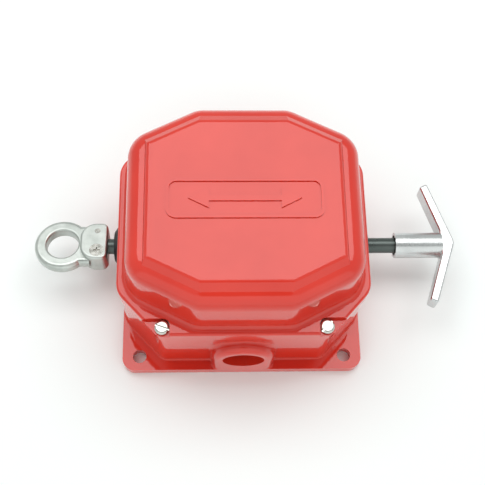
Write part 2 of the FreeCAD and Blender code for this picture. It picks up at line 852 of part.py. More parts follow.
def make_gasket():
    body = new_body("cover_gasket")
    inset = cell("gasket_inset")
    ring = new_sketch(body, "gasket_outline", offset=base_height)
    add_outline(ring, box_outline(inset))
    add_outline(ring, box_outline(wall))
    pad(body, "gasket_ring", ring, cell("gasket_thick"))
    lugs = new_sketch(body, "gasket_lugs", offset=base_height)
    for spot in COVER_SCREWS:
        add_circle(lugs, *moved_in(spot, BOSS_SHIFT), cell("boss_rad") - inset)
    pad(body, "gasket_lug_pads", lugs, cell("gasket_thick"))
    holes = new_sketch(body, "gasket_holes", offset=cover_under)
    for x, y in COVER_SCREWS:
        add_circle(holes, x, y, cell("cover_screw_rad") + cell("screw_hole_gap"))
    pocket(body, "gasket_screw_holes", holes, cell("gasket_thick"))
    return body


# --------------------------------------------------------------------- fasteners

def make_cover_screw(number, x, y, slot_angle):
    """A slotted cheese-head screw, its head seated in a notch of the flange."""
    name = "cover_screw_%d" % number
    head = cell("cover_screw_head")
    rise = cell("cover_screw_head_rise")
    grip = screw_seat - base_height + cell("cover_screw_grip")
    screw = revolved(name + "_turned", [
        (0, -grip), (cell("cover_screw_rad"), -grip), (cell("cover_screw_rad"), 0),
        (head, 0), (head, rise), (0, rise)])
    fillet(screw, name + "_crown", rise / 2,
           lambda edge, middle: is_level(edge, rise.value))
    slot = block(name + "_slot", (-head - past, head + past),
                 (-cell("screw_slot") / 2, cell("screw_slot") / 2),
                 (rise / 2, rise + past))
    return place(cut(name, screw, slot), x, y, screw_seat, (0, 0, 1), slot_angle)


def make_small_screws(name, places, height, grip, radius="small_screw_rad"):
    """Pan-head screws standing at one height, as one group of separate solids."""
    made = []
    rad = cell(radius)
    for number, (x, y) in enumerate(places, start=1):
        label = "%s_%d" % (name, number)
        head = cylinder(label + "_head", cell("small_head_rad"),
                        cell("small_head_rise"), x, y, height)
        shank = cylinder(label + "_shank", rad, grip, x, y, height - grip)
        reach = cell("small_head_rad") + past
        side = cell("small_slot") / 2
        slot = block(label + "_slot", (x - reach, x + reach), (y - side, y + side),
                     (height + cell("small_head_rise") / 2,
                      height + cell("small_head_rise") * 2))
        made.append(cut(label, fused(label + "_whole", [head, shank]), slot))
    return grouped(name, made)


# ------------------------------------------------------- shaft, bearings, collars

def make_bushing(name, side):
    """A flanged sleeve pushed out through the wall from inside."""
    length = box_x - bushing_face
    rad = cell("bushing_rad")
    body = revolved(name, [
        (bore_rad, 0), (cell("bushing_flange_rad"), 0),
        (cell("bushing_flange_rad"), cell("bushing_flange")),
        (rad, cell("bushing_flange")), (rad, length), (bore_rad, length)])
    return place(body, bushing_face * side, 0, shaft_height, (0, 1, 0), 90 * side)


def make_shaft_seal(name, side):
    """A rubber disc on the outside of the wall, with a bevelled face."""
    rim = cell("seal_rad")
    nose = cell("seal_nose_rad")
    body = revolved(name, [
        (bore_rad, 0), (rim, 0), (rim, cell("seal_rim")),
        (nose, cell("seal_length")), (bore_rad, cell("seal_length"))])
    return place(body, box_x * side, 0, shaft_height, (0, 1, 0), 90 * side)


DRIVE_START = travel / 2 - cell("drive_groove") / 2 - cell("drive_flange")
CAM_START = roller_x - cell("cam_land")
RUN_STOP_START = bushing_face - cell("stop_gap") - cell("stop_length")
TRIP_STOP_START = travel + cell("stop_gap") - bushing_face

COLLAR_PINS = {
    "drive_collar": (travel / 2, cell("drive_root_rad")),
    "cam_collar": (CAM_START + cell("cam_land") / 2, cell("cam_rad")),
    "run_stop": (RUN_STOP_START + cell("stop_length") / 2, cell("stop_rad")),
    "trip_stop": (TRIP_STOP_START + cell("stop_length") / 2, cell("stop_rad")),
}


def collar_hole(owner, name):
    """The cross hole for a collar's pin, right through the collar."""
    x, rad = COLLAR_PINS[name]
    return cylinder("%s_%s_hole" % (owner, name), cell("collar_pin_rad"),
                    (rad + past) * 2, x, 0, shaft_height - rad - past)


def make_collar_pins():
    pins = []
    for name, (x, rad) in COLLAR_PINS.items():
        pins.append(cylinder(name + "_pin", cell("collar_pin_rad"), rad * 2 - 0.4,
                             x, 0, shaft_height - rad + 0.2))
    return grouped("collar_pins", pins)


def make_shaft():
    start = cell("shaft_head_end")
    head = cell("shaft_head_rad")
    neck = cell("shaft_head_thick")
    tail = cell("shaft_thread_rad")
    step = start + cell("shaft_step")
    end = start + cell("shaft_end")
    bar = revolved("shaft_bar", [
        (0, 0), (head, 0), (head, neck), (shaft_rad, neck), (shaft_rad, step),
        (tail, step), (tail, end), (0, end)])
    along_x(bar, -start, 0, shaft_height)
    holes = grouped("shaft_holes", [collar_hole("shaft", name) for name in COLLAR_PINS])
    return cut("shaft", bar, holes)


def make_collar(name, start, points):
    bar = revolved(name + "_turned", points)
    along_x(bar, start, 0, shaft_height)
    return cut(name, bar, collar_hole("collar", name))


def make_drive_collar():
    flange = cell("drive_flange")
    far = flange + cell("drive_groove")
    rim = cell("drive_rad")
    root = cell("drive_root_rad")
    return make_collar("drive_collar", DRIVE_START, [
        (shaft_rad, 0), (rim, 0), (rim, flange), (root, flange), (root, far),
        (rim, far), (rim, far + flange), (shaft_rad, far + flange)])


def make_cam_collar():
    land = cell("cam_land")
    end = land + cell("cam_ramp")
    low = cell("cam_rad") - cell("cam_ramp") * cell("cam_slope")
    return make_collar("cam_collar", CAM_START, [
        (shaft_rad, 0), (cell("cam_rad"), 0), (cell("cam_rad"), land), (low, end),
        (shaft_rad, end)])


def make_stop(name, start):
    return make_collar(name, start, [
        (shaft_rad, 0), (cell("stop_rad"), 0), (cell("stop_rad"), cell("stop_length")),
        (shaft_rad, cell("stop_length"))])


# ----------------------------------------------------------- toggle frame and yoke

def make_toggle_frame():
    """A U of sheet steel that carries the yoke's pivot and the spring's trunnion."""
    half = cell("frame_half")
    inner = cell("frame_inner")
    outer = inner + cell("frame_plate")
    top = cell("frame_top")
    web = block("frame_web", (-half, half), (-outer, outer),
                (floor_thick, floor_thick + cell("frame_web")))
    front = block("frame_front", (-half, half), (-outer, -inner), (floor_thick, top))
    rear = block("frame_rear", (-half, half), (inner, outer), (floor_thick, top))
    holes = [
        y_cylinder("frame_pivot_hole", cell("pivot_rad"), -outer - past,
                   (outer + past) * 2, 0, pivot_height),
        y_cylinder("frame_trunnion_hole", cell("trunnion_rad") + cell("run_gap"),
                   -outer - past, (outer + past) * 2, 0, cell("trunnion_height"))]
    for number, (x, y) in enumerate(FRAME_SCREWS):
        holes.append(cylinder("frame_screw_hole_%d" % number, cell("small_screw_rad"),
                              cell("frame_web") + past * 2, x, y,
                              floor_thick - past))
    plates = fused("frame_plates", [web, front, rear])
    return cut("toggle_frame", plates, grouped("frame_holes", holes))


def make_pivot_pin():
    outer = cell("frame_inner") + cell("frame_plate") + 1
    return y_cylinder("pivot_pin", cell("pivot_rad"), -outer, outer * 2, 0, pivot_height)


REST_SWING = math.degrees(math.asin(travel.value / 2 / yoke_arm.value))
TIP_BACK = cell("tip_arm").value * math.sin(math.radians(REST_SWING))
TIP_DROP = (cell("trunnion_height") - pivot_height).value - cell("tip_arm").value * math.cos(
    math.radians(REST_SWING))
REST_LEAN = math.degrees(math.atan2(TIP_BACK, TIP_DROP))


def make_toggle_yoke():
    """A forked lever: two tines with studs in the drive collar, and a short top arm."""
    inner = cell("yoke_inner")
    outer = inner + cell("tine_thick")
    half = cell("tine_half")
    hub_end = cell("frame_inner") - cell("yoke_hub_gap")
    parts = [y_cylinder("yoke_hub", cell("yoke_hub_rad"), -hub_end, hub_end * 2)]
    for name, side in switch_side.items():
        low, high = ordered(side, inner, outer)
        parts.append(block(name + "_tine", (-half, half), (low, high), (-yoke_arm, 0)))
        parts.append(y_cylinder(name + "_tine_end", half, low, high - low, 0, -yoke_arm))
        low, high = ordered(side, cell("stud_reach"), outer)
        parts.append(y_cylinder(name + "_stud", cell("stud_rad"), low, high - low, 0,
                                -yoke_arm))
    arm = cell("tip_arm")
    arm_half = cell("tip_arm_half")
    arm_side = cell("tip_arm_side")
    parts.append(block("yoke_top_arm", (-arm_half, arm_half), (-arm_side, arm_side),
                       (0, arm)))
    parts.append(y_cylinder("yoke_top_end", arm_half, -arm_side, arm_side * 2, 0, arm))
    holes = grouped("yoke_holes", [
        y_cylinder("yoke_bore", cell("pivot_rad") + cell("run_gap"), -hub_end - past,
                   (hub_end + past) * 2),
        y_cylinder("yoke_tip_hole", cell("tip_pin_rad"), -arm_side - past,
                   (arm_side + past) * 2, 0, arm)])
    yoke = cut("toggle_yoke", fused("yoke_whole", parts), holes)
    return place(yoke, 0, 0, pivot_height, (0, 1, 0), -REST_SWING)


def make_yoke_tip_pin():
    reach = cell("tip_pin_reach")
    pin = y_cylinder("tip_pin_bar", cell("tip_pin_rad"), -reach, reach * 2, 0,
                     cell("tip_arm"))
    group = grouped("yoke_tip_pin", [pin])
    return place(group, 0, 0, pivot_height, (0, 1, 0), -REST_SWING)


def ordered(side, near_y, far_y):
    """A (low, high) pair on the front (-1) or rear (+1) side."""
    if side > 0:
        return as_size(near_y), as_size(far_y)
    return -as_size(far_y), -as_size(near_y)


TIP_CLOSE = cell("trunnion_height") - pivot_height - cell("tip_arm")
SLOT_FOOT = cell("run_gap") + math.hypot(TIP_BACK, TIP_DROP)
FORK_CROWN = TIP_CLOSE - cell("guide_fork")


def lean(item):
    """Hang a part of the spring link from its trunnion at the rest angle."""
    return place(item, 0, 0, cell("trunnion_height"), (0, 1, 0), REST_LEAN)


def make_spring_guide():
    """A rod with a slotted fork at its foot, which slides in the trunnion."""
    half_x = cell("crown_half_x")
    half_y = cell("crown_half_y")
    rod = cylinder("guide_rod", cell("guide_rad"), FORK_CROWN + cell("guide_end"),
                   0, 0, -FORK_CROWN)
    crown = block("guide_crown", (-half_x, half_x), (-half_y, half_y),
                  (-FORK_CROWN, cell("crown_thick") - FORK_CROWN))
    arms = []
    for name, side in switch_side.items():
        arms.append(block(name + "_fork_arm", (-half_x, half_x),
                          ordered(side, cell("fork_inner"), half_y),
                          (-TIP_CLOSE - cell("fork_below"),
                           cell("crown_thick") / 2 - FORK_CROWN)))
    slot_rad = cell("tip_pin_rad") + cell("slide_gap")
    reach = half_y + past
    slot = [y_cylinder("fork_slot_top", slot_rad, -reach, reach * 2, 0, -TIP_CLOSE),
            y_cylinder("fork_slot_foot", slot_rad, -reach, reach * 2, 0, -SLOT_FOOT),
            block("fork_slot_middle", (-slot_rad, slot_rad), (-reach, reach),
                  (-SLOT_FOOT, -TIP_CLOSE))]
    whole = fused("guide_whole", [rod, crown] + arms)
    return lean(cut("spring_guide", whole, grouped("fork_slot", slot)))


def make_spring_trunnion():
    end = cell("frame_inner") + cell("frame_plate")
    bar = y_cylinder("trunnion_bar", cell("trunnion_rad"), -end, end * 2)
    reach = cell("trunnion_rad") + past
    bore = cylinder("trunnion_bore", cell("guide_rad") + cell("slide_gap"), reach * 2,
                    0, 0, -reach)
    return lean(cut("spring_trunnion", bar, bore))


def make_toggle_spring():
    """A round-wire compression spring between the fork's crown and the trunnion."""
    wire = cell("spring_wire").value
    low = (cell("crown_thick") - FORK_CROWN + cell("run_gap")).value + wire
    high = -(cell("trunnion_rad") + cell("slide_gap")).value - wire
    turns = cell("spring_turns").value
    path = Part.makeHelix((high - low) / turns, high - low, cell("spring_rad").value)
    path.translate(FreeCAD.Vector(0, 0, low))
    start = FreeCAD.Vector(cell("spring_rad").value, 0, low)
    section = Part.Wire([Part.makeCircle(wire, start, FreeCAD.Vector(0, 1, 0))])
    coil = Part.Wire(path.Edges).makePipeShell([section], True, True)
    item = document.addObject("Part::Feature", "toggle_spring")
    item.Shape = coil
    return lean(item)


# ------------------------------------------------------------------ snap switches

def make_switch(side_name):
    """A block switch with hinge lugs, mounting holes and a bore for its plunger."""
    side = switch_side[side_name]
    name = side_name + "_switch"
    start = cell("switch_start")
    face = cell("switch_face")
    half = cell("switch_thick") / 2
    case = block(name + "_case", (start, start + cell("switch_length")),
                 ordered(side, face, face + cell("switch_deep")),
                 (shaft_height - half, shaft_height + half))
    parts = [case]
    hinge = cell("lever_hinge_x")
    lug_start = cell("lever_half") + cell("lever_side_gap")
    lug_half = cell("hinge_lug_half")
    thick = cell("hinge_lug_thick")
    lug_front = cell("lever_hinge_y") - cell("ear_below")
    for label, low in (("upper", lug_start), ("lower", -lug_start - thick)):
        parts.append(block("%s_%s_lug" % (name, label),
                           (hinge - lug_half, hinge + lug_half),
                           ordered(side, lug_front, face + past),
                           (shaft_height + low, shaft_height + low + thick)))
    holes = []
    hinge_y = cell("lever_hinge_y") * side
    holes.append(cylinder(name + "_hinge_hole", cell("lever_pin_rad"), half * 2 + past * 2,
                          hinge, hinge_y, shaft_height - half - past))
    for number, (x, y) in enumerate(switch_screw_places(side)):
        holes.append(cylinder("%s_hole_%d" % (name, number), cell("switch_hole_rad"),
                              half * 2 + past * 2, x, y,
                              shaft_height - half - past))
    low, high = ordered(side, face - past, face + cell("plunger_bore"))
    holes.append(y_cylinder(name + "_plunger_bore",
                            cell("plunger_rad") + cell("run_gap"), low, high - low,
                            cell("plunger_x"), shaft_height))
    return cut(name, fused(name + "_whole", parts), grouped(name + "_holes", holes))


def switch_screw_places(side):
    middle = cell("switch_start") + cell("switch_length") / 2
    half_pitch = cell("switch_hole_pitch") / 2
    y = (cell("switch_face") + cell("switch_deep") / 2) * side
    return [(middle - half_pitch, y), (middle + half_pitch, y)]


def make_plunger(side_name):
    """The switch's button: a round pin with a bevelled tip that the lever presses."""
    side = switch_side[side_name]
    rad = cell("plunger_rad")
    tip = cell("lever_hinge_y") + cell("lever_plate") / 2 + cell("plunger_gap")
    pin = revolved(side_name + "_plunger", [
        (0, 0), (rad * 0.25, 0), (rad, rad * 0.4), (rad, cell("plunger_long")),
        (0, cell("plunger_long"))])
    return place(pin, cell("plunger_x"), tip * side, shaft_height, (1, 0, 0), -90 * side)


def make_lever(side_name):
    """A strip hinged at one end, with two ears that hold the roller at the other."""
    side = switch_side[side_name]
    name = side_name + "_lever"
    hinge = cell("lever_hinge_x")
    hinge_y = cell("lever_hinge_y")
    half_plate = cell("lever_plate") / 2
    half = cell("lever_half")
    strip = block(name + "_strip", (roller_x + cell("roller_rad") + past, hinge),
                  ordered(side, hinge_y - half_plate, hinge_y + half_plate),
                  (shaft_height - half, shaft_height + half))
    tube = cylinder(name + "_tube", cell("lever_tube_rad"), half * 2, hinge,
                    hinge_y * side, shaft_height - half)
    parts = [strip, tube]
    ear_start = cell("roller_thick") / 2 + cell("lever_side_gap")
    ear = (roller_x - cell("ear_front"), roller_x + cell("ear_back"))
    for label, low, high in (("upper", ear_start, half), ("lower", -half, -ear_start)):
        parts.append(block("%s_%s_ear" % (name, label), ear,
                           ordered(side, roller_y - cell("ear_below"),
                                   hinge_y + half_plate),
                           (shaft_height + low, shaft_height + high)))
    holes = grouped(name + "_holes", [
        cylinder(name + "_hinge_bore", cell("lever_pin_rad") + cell("run_gap"),
                 (half + past) * 2, hinge, hinge_y * side,
                 shaft_height - half - past),
        cylinder(name + "_roller_bore", cell("lever_pin_rad"), (half + past) * 2,
                 roller_x, roller_y * side, shaft_height - half - past)])
    return cut(name, fused(name + "_whole", parts), holes)


def make_roller(side_name):
    side = switch_side[side_name]
    name = side_name + "_roller"
    half = cell("roller_thick") / 2
    wheel = cylinder(name + "_wheel", cell("roller_rad"), half * 2, roller_x,
                     roller_y * side, shaft_height - half)
    bore = cylinder(name + "_bore", cell("lever_pin_rad") + cell("run_gap"),
                    (half + past) * 2, roller_x, roller_y * side,
                    shaft_height - half - past)
    return cut(name, wheel, bore)


def make_roller_pin(side_name):
    side = switch_side[side_name]
    reach = cell("lever_half") + 0.4
    return cylinder(side_name + "_roller_pin", cell("lever_pin_rad"), reach * 2,
                    roller_x, roller_y * side, shaft_height - reach)


def make_hinge_pin(side_name):
    side = switch_side[side_name]
    reach = cell("lever_half") + 3.2
    return cylinder(side_name + "_hinge_pin", cell("lever_pin_rad"), reach * 2,
                    cell("lever_hinge_x"), cell("lever_hinge_y") * side,
                    shaft_height - reach)


def make_switch_bracket(side_name):
    """A Z of sheet steel: a foot on the floor and a shelf under the switch."""
    side = switch_side[side_name]
    name = side_name + "_bracket"
    xs = (cell("switch_start"),
          cell("switch_start") + cell("switch_length") - cell("bracket_short"))
    gauge = cell("bracket_sheet")
    shelf = shaft_height - cell("switch_thick") / 2
    back = cell("switch_face") + cell("switch_deep") - 1
    parts = [
        block(name + "_shelf", xs, ordered(side, cell("switch_face") + 0.5, back),
              (shelf - gauge, shelf)),
        block(name + "_web", xs, ordered(side, back - gauge, back), (floor_thick, shelf)),
        block(name + "_foot", xs, ordered(side, back - gauge, cell("bracket_foot")),
              (floor_thick, floor_thick + gauge))]
    holes = []
    for number, (x, y) in enumerate(switch_screw_places(side)):
        holes.append(cylinder("%s_shelf_hole_%d" % (name, number),
                              cell("switch_hole_rad"), 8, x, y, shelf - 5))
    for number, (x, y) in enumerate(BRACKET_SCREWS):
        if y.value * side > 0:
            holes.append(cylinder("%s_foot_hole_%d" % (name, number),
                                  cell("small_screw_rad"), 8, BRACKET_MIDDLE + x, y,
                                  floor_thick - 2))
    whole = fused(name + "_whole", parts)
    return cut("%s_switch_bracket" % side_name, whole, grouped(name + "_holes", holes))


def make_terminal_screws():
    """Three brass terminal screws on the outer face of each switch."""
    made = []
    for side_name, side in switch_side.items():
        face = cell("switch_face") + cell("switch_deep")
        low, high = ordered(side, face, face + cell("terminal_rise"))
        for number, step in enumerate((-1, 0, 1)):
            x = BRACKET_MIDDLE + cell("terminal_pitch") * step
            made.append(y_cylinder("%s_terminal_%d" % (side_name, number),
                                   cell("terminal_rad"), low, high - low, x,
                                   shaft_height))
    return grouped("terminal_screws", made)


# --------------------------------------------------------------------- cable eye

def tilt_eye(item):
    """The eye is built about the shaft's axis and swivelled as it hangs."""
    return place(item, 0, 0, shaft_height, (1, 0, 0), cell("eye_tilt"))


def shell_outline(body, name, offset, height):
    """The clamp's plan: square towards the box, well rounded towards the ring."""
    sketch = new_sketch(body, name + "_outline", offset=offset)
    left = -cell("shell_start")
    right = -cell("shell_end")
    half = cell("shell_half")
    add_outline(sketch, [(left, -half), (right, -half), (right, half), (left, half)])
    pad(body, name + "_block", sketch, height)
    for end, x, size in (("left", left, "shell_left_round"),
                         ("right", right, "shell_right_round")):
        fillet(body, "%s_%s_corners" % (name, end), cell(size),
               lambda edge, middle: is_upright(edge) and near(middle.x, x.value))


def tongue_block(name):
    """The flat tongue of the eye ring, held between both halves of the clamp."""
    thick = cell("tongue_thick") / 2
    return block(name, (-cell("shell_start") - cell("tongue_root"), -cell("tongue_end")),
                 (-cell("tongue_half"), cell("tongue_half")), (-thick, thick))


def eye_screw_tools(owner):
    """The room that the shaft, the tongue and both screws take inside the clamp."""
    gap = cell("swivel_gap")
    head_start = -cell("shaft_head_end") - gap
    head_long = cell("shaft_head_thick") + gap * 2
    rise = cell("shell_rise")
    tools = [
        x_cylinder(owner + "_head_room", cell("shaft_head_rad") + gap, head_start,
                   head_long),
        x_cylinder(owner + "_neck_room", shaft_rad + gap, head_start, 20),
        tongue_block(owner + "_tongue_room")]
    for number, side in ((1, 1), (2, -1)):
        tools.extend(eye_screw_shapes("%s_screw_%d" % (owner, number), side, rise))
    return tools


def eye_screw_shapes(name, side, rise):
    """A countersunk screw right through both halves: from above (1) or below (-1)."""
    x = -cell("eye_screw_x")
    y = -cell("eye_screw_y") * side
    shank = cylinder(name + "_shank", cell("eye_screw_rad"), rise * 2, x, y, -rise)
    head = document.addObject("Part::Cone", name + "_head")
    bind(head, "Radius1", cell("eye_screw_head"))
    bind(head, "Radius2", cell("eye_screw_rad"))
    bind(head, "Height", cell("eye_screw_sink"))
    turn = 180 if side > 0 else 0
    place(head, x, y, rise * side, (1, 0, 0), turn)
    return [shank, head]


def make_eye_shell(name, upper):
    body = new_body(name + "_casting")
    rise = cell("shell_rise")
    outer_face = rise if upper else -rise
    shell_outline(body, name, as_size(0) if upper else -rise, rise)
    fillet(body, name + "_edge", cell("shell_edge"),
           lambda edge, middle: is_level(edge, outer_face.value))
    tools = fused(name + "_room", eye_screw_tools(name))
    return tilt_eye(cut(name, body, tools))


def make_eye_ring():
    body = new_body("eye_ring_casting")
    thick = cell("eye_thick")
    centre = -cell("eye_centre")
    disc = new_sketch(body, "ring_disc")
    add_circle(disc, centre, 0, cell("eye_rad"))
    pad(body, "ring_pad", disc, thick, middle=True)
    neck = new_sketch(body, "ring_neck")
    half = cell("eye_neck_half")
    neck_end = -cell("shell_start") + cell("shell_left_round") * 0.6
    neck_start = centre + math.sqrt(cell("eye_rad").value ** 2 - half.value ** 2)
    add_outline(neck, [(neck_start, -half), (neck_end, -half), (neck_end, half),
                       (neck_start, half)])
    pad(body, "neck_pad", neck, thick, middle=True)
    fillet(body, "ring_edges", cell("eye_round"),
           lambda edge, middle: near(abs(middle.z), thick.value / 2)
           and middle.x < neck_end.value - 0.1)
    hole = new_sketch(body, "ring_hole", offset=thick)
    add_circle(hole, centre, 0, cell("eye_hole_rad"))
    pocket(body, "ring_bore", hole, thick * 2)
    fillet(body, "ring_hole_edges", cell("eye_hole_round"),
           lambda edge, middle: near(abs(middle.z), thick.value / 2)
           and isinstance(edge.Curve, Part.Circle)
           and near(edge.Curve.Radius, cell("eye_hole_rad").value))
    clamp = new_body("clamp_envelope")
    shell_outline(clamp, "clamp", -thick, thick * 2)
    trimmed = cut("ring_trimmed", body, clamp)
    return tilt_eye(fused("eye_ring", [trimmed, tongue_block("ring_tongue")]))


def make_eye_screws():
    rise = cell("shell_rise")
    made = []
    for number, side in ((1, 1), (2, -1)):
        name = "eye_screw_%d" % number
        whole = fused(name + "_whole", eye_screw_shapes(name, side, rise))
        x = -cell("eye_screw_x")
        y = -cell("eye_screw_y") * side
        long = cell("cross_span") / 2
        thin = cell("cross_width") / 2
        deep = cell("cross_deep")
        zs = (rise - deep, rise + past) if side > 0 else (-rise - past, deep - rise)
        cross = fused(name + "_cross", [
            block(name + "_cross_a", (x - long, x + long), (y - thin, y + thin), zs),
            block(name + "_cross_b", (x - thin, x + thin), (y - long, y + long), zs)])
        made.append(cut(name, whole, cross))
    return tilt_eye(grouped("eye_screws", made))


# ---------------------------------------------------------------------- T-handle

def make_t_handle():
    body = new_body("t_handle")
    rise = cell("handle_rise")
    span = cell("handle_span") / 2
    root = cell("handle_root")
    inner = cell("handle_tip_inner")
    outer = cell("handle_tip_outer")
    sleeve = cell("sleeve_rad")
    bar = new_sketch(body, "bar_outline")
    add_outline(bar, [(cell("handle_apex"), 0), (outer, span), (inner, span * 0.94),
                      (root, sleeve), (root, -sleeve), (inner, -span * 0.94),
                      (outer, -span)])
    pad(body, "bar", bar, rise, middle=True)
    fillet(body, "apex_round", cell("sleeve_rad"),
           lambda edge, middle: is_upright(edge) and near(middle.y, 0))
    fillet(body, "tip_rounds", cell("handle_edge"),
           lambda edge, middle: is_upright(edge) and abs(middle.y) > span.value * 0.9)
    fillet(body, "bar_edges", cell("handle_edge"),
           lambda edge, middle: near(abs(middle.z), rise.value / 2))
    start = cell("handle_start")
    tube = new_sketch(body, "sleeve_circle", "YZ_Plane", start)
    add_circle(tube, 0, 0, sleeve)
    pad(body, "sleeve", tube, root + past - start)
    recess = new_sketch(body, "recess_circle", "YZ_Plane", cell("shaft_step"))
    add_circle(recess, 0, 0, cell("handle_recess_rad"))
    pocket(body, "mouth_recess", recess, cell("shaft_step") - start + past)
    bore = new_sketch(body, "thread_circle", "YZ_Plane", cell("shaft_end"))
    add_circle(bore, 0, 0, cell("shaft_thread_rad"))
    pocket(body, "handle_bore", bore, cell("shaft_end") - start)
    return place(body, 0, 0, shaft_height)


# ------------------------------------------------------------------------ all nodes

SLOT_ANGLES = (-35.0, 20.0, -20.0, 45.0)


def make_cover_screws():
    made = []
    places = zip(COVER_SCREWS, SLOT_ANGLES)
    for number, ((x, y), angle) in enumerate(places, start=1):
        made.append(make_cover_screw(number, x, y, angle))
    return grouped("cover_screws", made)


def build():
    frame_places, bracket_places, earth_place = floor_screw_places()
    grip = cell("small_screw_grip")
    nodes = [
        make_base_housing(), make_cover(), make_gasket(), make_cover_screws(),
        make_bushing("left_bushing", -1), make_bushing("right_bushing", 1),
        make_shaft_seal("left_shaft_seal", -1), make_shaft_seal("right_shaft_seal", 1),
        make_shaft(), make_drive_collar(), make_cam_collar(),
        make_stop("run_stop", RUN_STOP_START), make_stop("trip_stop", TRIP_STOP_START),
        make_collar_pins(),
        make_toggle_frame(), make_pivot_pin(), make_toggle_yoke(), make_yoke_tip_pin(),
        make_spring_guide(), make_spring_trunnion(), make_toggle_spring(),
        make_small_screws("frame_screws", frame_places,
                          floor_thick + cell("frame_web"), grip + cell("frame_web")),
        make_small_screws("bracket_screws", bracket_places,
                          floor_thick + cell("bracket_sheet"),
                          grip + cell("bracket_sheet")),
        make_small_screws("earth_screw", earth_place, floor_thick, grip),
        make_terminal_screws(),
        make_eye_ring(), make_eye_shell("eye_shell_upper", True),
        make_eye_shell("eye_shell_lower", False), make_eye_screws(), make_t_handle(),
    ]
    for side_name in switch_side:
        nodes.extend([
            make_switch(side_name), make_plunger(side_name), make_lever(side_name),
            make_roller(side_name), make_roller_pin(side_name),
            make_hinge_pin(side_name), make_switch_bracket(side_name)])
    top = shaft_height + cell("switch_thick") / 2
    for side_name, side in switch_side.items():
        nodes.append(make_small_screws(
            side_name + "_switch_screws", switch_screw_places(side), top,
            cell("switch_thick") + cell("bracket_sheet"), "switch_hole_rad"))
    return nodes


def check(nodes):
    document.recompute()
    for item in document.Objects:
        if {"Invalid", "Error"} & set(item.State):
            raise RuntimeError("%s did not compute: %s" % (item.Name, item.State))
    for node in nodes:
        if node.Shape.isNull() or not node.Shape.isValid() or not node.Shape.Solids:
            raise RuntimeError(node.Name + " has no valid solid")


def write(nodes):
    os.makedirs("parts", exist_ok=True)
    for node in nodes:
        node.Label = node.Name
        node.Shape.exportStep("parts/%s.step" % node.Label)
        print("%-24s %2d solid(s) %10.1f mm3" % (
            node.Label, len(node.Shape.Solids), node.Shape.Volume))


made_nodes = build()
check(made_nodes)
write(made_nodes)
print("nodes:", len(made_nodes))
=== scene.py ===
"""Finishes, studio and camera for the cable-operated safety switch.

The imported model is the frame: every shape that works or fits comes from it.  This script
gives each of its nodes a procedural finish, adds the fine detail that the model leaves
out (the pipe thread) and sets up the floor, the light and the camera.
All lengths are metres in the model's own frame: origin at the centre of the mounting face,
+Z towards the cover, -X the cable eye, +X the T-handle, -Y the conduit entry.
"""

import json
import math

import bpy
from mathutils import Matrix, Vector


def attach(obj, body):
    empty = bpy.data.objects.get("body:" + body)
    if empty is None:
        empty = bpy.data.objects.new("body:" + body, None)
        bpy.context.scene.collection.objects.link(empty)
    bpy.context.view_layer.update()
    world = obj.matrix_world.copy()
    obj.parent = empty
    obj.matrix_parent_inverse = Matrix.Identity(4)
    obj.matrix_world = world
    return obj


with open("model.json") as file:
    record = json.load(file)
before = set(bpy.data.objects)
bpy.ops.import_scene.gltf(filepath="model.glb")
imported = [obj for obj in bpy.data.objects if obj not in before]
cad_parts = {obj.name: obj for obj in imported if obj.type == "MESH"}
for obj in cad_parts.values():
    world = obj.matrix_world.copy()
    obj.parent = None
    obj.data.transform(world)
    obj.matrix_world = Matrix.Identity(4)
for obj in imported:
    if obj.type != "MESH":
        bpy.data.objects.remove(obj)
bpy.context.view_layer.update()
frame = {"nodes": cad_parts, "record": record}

MM = 0.001

# World: strength of the studio's walls and of the reflector in front, with the Y of a
# direction where one starts to pass into the other and where it has.
STUDIO_COLOUR = (0.965, 1.0, 0.985, 1.0)
WALL_STRENGTH = 0.68
FRONT_STRENGTH = 1.2
FRONT_EDGE = (-0.42, -0.58)

# World: the dark of the lens and its stand, as a direction, the cosines of its soft edge
# and the share of light left inside it.
LENS_DIRECTION = (0.0, -0.37, 0.93)
LENS_EDGE = (0.968, 0.985)
LENS_LIGHT = 0.3

# Softbox over the back of the box.
SOFTBOX_PLACE = (0.0, 0.555, 1.395)
SOFTBOX_TARGET = (0.0, 0.0, 0.0)
SOFTBOX_SIZE = (2.1, 0.8)
SOFTBOX_WATTS = 13.0

# Camera: place in millimetres, angles in degrees, focal length and sensor in millimetres.
CAMERA_PLACE = (-21.15, -222.82, 588.31)
CAMERA_DOWN = 68.0
CAMERA_YAW = 5.577
CAMERA_ROLL = 4.96
FOCAL_LENGTH = 68.52
SENSOR_WIDTH = 36.0

# Floor: half its side, and the gap that keeps it clear of the box's underside.
FLOOR_HALF = 4.0
FLOOR_DROP = 0.05 * MM

# A finish is never smoother than this, however its roughness wanders.
LEAST_ROUGHNESS = 0.02

# Conduit thread: pitch, depth, how far the ridge's foot is sunk into the wall of the bore,
# the plain length at each end, the steps in a turn, the ridge's section in shares of pitch
# and depth, and the share of its height that is left where it fades out.
THREAD_PITCH = 1.81 * MM
THREAD_DEPTH = 0.85 * MM
THREAD_SUNK = 0.1 * MM
THREAD_LEAD = 1.2 * MM
THREAD_STEPS = 64
THREAD_SECTION = ((-0.45, 0.0), (-0.06, 1.0), (0.06, 1.0), (0.45, 0.0))
THREAD_LEAST = 0.02


# ------------------------------------------------------------------ procedural finishes

def map_range(tree, source, start, end, low, high, easing="LINEAR"):
    """source between start and end becomes low to high, and stays there beyond."""
    node = tree.nodes.new("ShaderNodeMapRange")
    node.interpolation_type = easing
    for socket, value in (("From Min", start), ("From Max", end),
                          ("To Min", low), ("To Max", high)):
        node.inputs[socket].default_value = value
    tree.links.new(source, node.inputs["Value"])
    return node.outputs["Result"]


